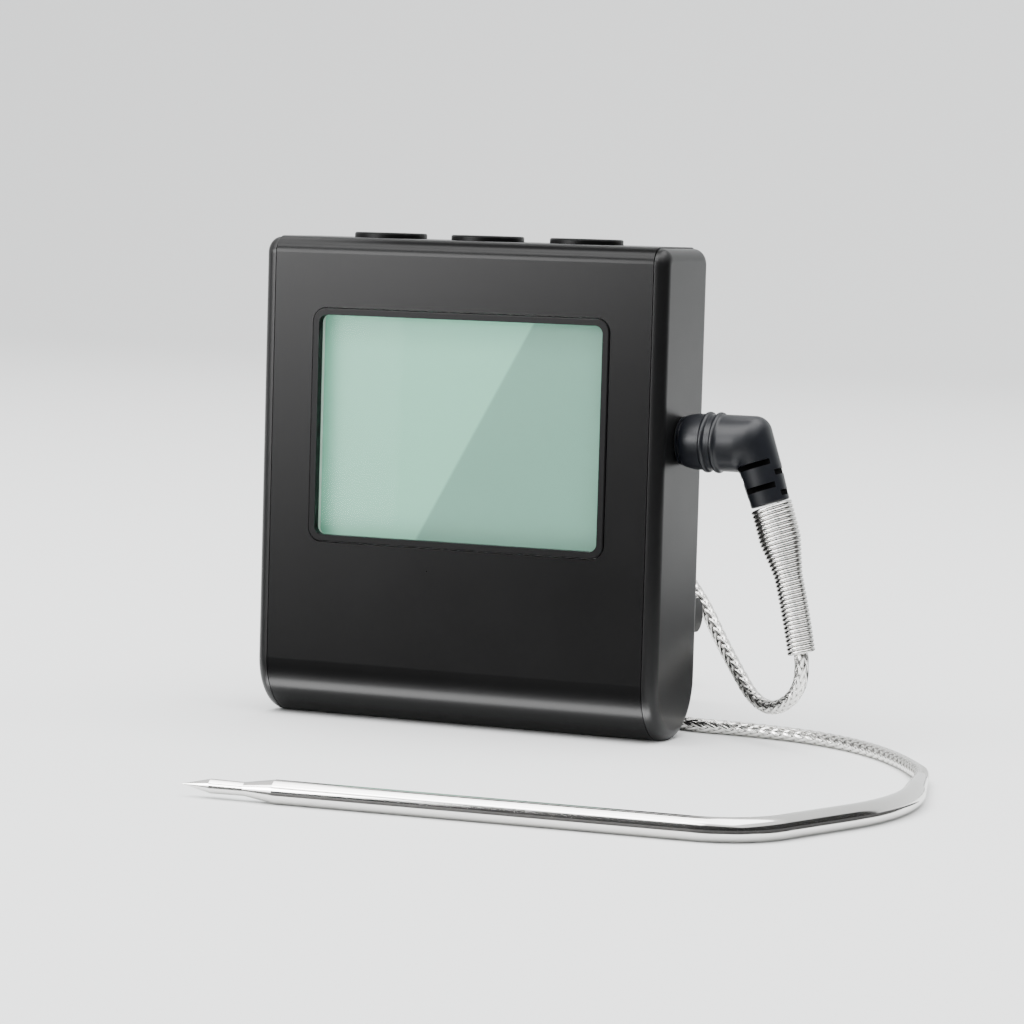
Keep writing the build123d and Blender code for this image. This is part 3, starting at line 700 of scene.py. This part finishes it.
NODE_MATERIALS = {
    "front_shell": shell_black, "rear_cover": shell_black, "battery_door": shell_black,
    "left_end_cap": cap_black, "right_end_cap": cap_black, "kickstand": shell_black,
    "window_bezel": bezel_black, "window_lens": clear_lens(), "lcd_glass": display_green_painted_glare(),
    "lcd_frame": tray_white, "contact_strip": elastomer(), "circuit_board": board_laminate(),
    "key_board": board_laminate(), "controller_chip": part_black, "buzzer": part_black,
    "key_switches": part_black, "switch_plunger_left": part_black, "switch_plunger_middle": part_black,
    "switch_plunger_right": part_black, "button_left": button_black, "button_middle": button_black,
    "button_right": button_black, "jack_socket": part_black, "jack_contacts": nickel,
    "battery": battery_sleeve(), "battery_spring": nickel, "battery_plate": nickel,
    "battery_wires": wire_red, "cover_screws": dark_steel, "kickstand_pin": pin_steel,
    "stand_magnets": nickel, "plug_pin": nickel, "pin_insulator": part_black, "plug_body": plug_black,
    "strain_relief": plug_black, "coil_tie": part_black, "cable_crimp": probe_steel,
    "probe_tube": probe_steel, "probe_tip": probe_steel, "sensor_bead": part_black,
}

def paint_slot_shade():
    """Give the plug's faces inside its slots the second material, a painted shade blacker than the plug's plastic.
    """
    origin = relief_point(0)
    leg_axis = (relief_point(RELIEF_END) - origin).normalized()
    for face in plug.data.polygons:
        offset = face.center - origin
        along = offset.dot(leg_axis)
        aside = (offset - leg_axis * along).length
        if aside < RELIEF_TIP - 0.2 * MM and 2.5 * MM < along < RELIEF_END - 0.3 * MM:
            face.material_index = 1


for node, material in NODE_MATERIALS.items():
    cad = bpy.data.objects[node]
    cad.data.materials.clear()
    cad.data.materials.append(material)

plug.data.materials.clear()
plug.data.materials.append(plug_black)
plug.data.materials.append(slot_painted_shade)
paint_slot_shade()
lead.data.materials.append(core_steel)
braid.data.materials.append(woven)
spring.data.materials.append(spring_steel)

for piece, slot in ((lead, "braid"), (braid, "braid"), (spring, "spring_steel"), (plug, "plug_plastic")):
    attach(piece, "lead")
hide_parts("cable_lead", "cable_coil", "cable_run")
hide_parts("plug_spring")
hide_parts("plug_body", "strain_relief")


# Floor, backdrop and light

def make_backdrop():
    """A pale table that curves up behind into a backdrop."""
    near = -4.0
    bend_start = 1.3
    radius = 0.7
    top = 2.4
    outline = [(near, 0.0), (bend_start, 0.0)]
    for step in range(1, 25):
        turn = math.radians(90) * step / 24
        outline.append((bend_start + radius * math.sin(turn), radius * (1 - math.cos(turn))))
    outline.append((bend_start + radius, top))
    vertices = [(side * 3.5, y, z) for y, z in outline for side in (-1, 1)]
    faces = [(2 * i, 2 * i + 1, 2 * i + 3, 2 * i + 2) for i in range(len(outline) - 1)]
    mesh = bpy.data.meshes.new("backdrop")
    mesh.from_pydata(vertices, [], faces)
    mesh.shade_smooth()
    backdrop = bpy.data.objects.new("backdrop", mesh)
    material, shader = new_material("backdrop_paper", (0.80, 0.81, 0.81), 0.9)
    shader.inputs["Specular IOR Level"].default_value = 0.0
    fibre = object_noise(material, 300, 4.0)
    add_bump(material, shader, fibre.outputs["Fac"], 0.03, 0.0002)
    mesh.materials.append(material)
    bpy.context.collection.objects.link(backdrop)


def soft_box(name, place, target, width, height, watts, shine_only=False):
    """A rectangular soft light that faces a target."""
    data = bpy.data.lights.new(name, "AREA")
    data.shape = "RECTANGLE"
    data.size = width
    data.size_y = height
    data.energy = watts
    light = bpy.data.objects.new(name, data)
    light.location = place
    light.rotation_euler = (Vector(target) - Vector(place)).to_track_quat("-Z", "Y").to_euler()
    light.visible_camera = False
    light.visible_diffuse = not shine_only
    bpy.context.collection.objects.link(light)


def black_flag(name, corners):
    """A black studio flag that only shows in reflections."""
    mesh = bpy.data.meshes.new(name)
    mesh.from_pydata(corners, [], [tuple(range(len(corners)))])
    flag = bpy.data.objects.new(name, mesh)
    mesh.materials.append(flag_black)
    flag.visible_camera = False
    flag.visible_diffuse = False
    flag.visible_transmission = False
    flag.visible_shadow = False
    bpy.context.collection.objects.link(flag)


def floor_flag(name, outline):
    """A flag lying just over the table, from (x, y) corners."""
    black_flag(name, [(x, y, FLOOR_FLAG_Z) for x, y in outline])


def standing_flag(name, start, end, height):
    """An upright flag between two (x, y) places."""
    black_flag(name, [(*start, 0.0), (*end, 0.0), (*end, height), (*start, height)])


def make_world():
    """Even pale studio light from all round."""
    world = bpy.data.worlds.new("studio")
    world.use_nodes = True
    background = world.node_tree.nodes["Background"]
    background.inputs["Color"].default_value = (1, 1, 1, 1)
    background.inputs["Strength"].default_value = WORLD_LIGHT
    bpy.context.scene.world = world


flag_black = new_material("flag_black", (0.004, 0.004, 0.004), 0.9)[0]
make_backdrop()
make_world()
floor_flag("table_flag", [(FLAG_LEFT, -0.0972), (-0.01, -0.0902), (0.0667, -0.0865), (0.0718, -0.0852),
                          (0.0762, -0.0822), (0.079, -0.0775), (0.0851, -0.0607), (0.0876, -0.046),
                          (0.0852, -0.0389), (FLAG_RIGHT, FLAG_FAR), (FLAG_RIGHT, FLAG_NEAR),
                          (FLAG_LEFT, FLAG_NEAR)])
floor_flag("near_flag", [(-0.4, -0.08), (0.034, -0.078), (0.034, -0.0155), (-0.4, -0.0155)])
floor_flag("right_flag", [(0.036, 0.02), (0.3, 0.02), (0.3, 0.21), (0.036, 0.21)])
black_flag("over_flag", [(-0.06, -0.025, 0.16), (0.036, -0.025, 0.16), (0.036, 0.04, 0.16), (-0.06, 0.04, 0.16)])
standing_flag("front_flag", (FLAG_LEFT, FLAG_NEAR), (FLAG_RIGHT, FLAG_NEAR), 0.55)
standing_flag("side_flag", (FLAG_RIGHT, FLAG_NEAR), (FLAG_RIGHT, FLAG_FAR), 0.6)
soft_box("sheen_light", (-0.2, -0.3, 0.135), (0, 0, 0.07), 0.26, 0.12, 1.9, True)
soft_box("side_sheen", (-0.2, -0.3, 0.05), (0, 0, 0.045), 0.1, 0.12, 0.25, True)
soft_box("edge_light", (-0.16, -0.38, 0.42), (0, 0, 0.07), 0.5, 0.08, 1.4, True)
soft_box("floor_glow", (0, -0.0108, 0.0004), (0, -0.0108, 1), 0.07, 0.003, 0.0115, True)
soft_box("key_light", (-0.35, -0.45, 0.9), (0, 0, 0.03), 0.7, 0.7, 5)
soft_box("top_light", (0.1, -0.1, 1.3), (0.1, -0.1, 0), 1.6, 1.6, 42)
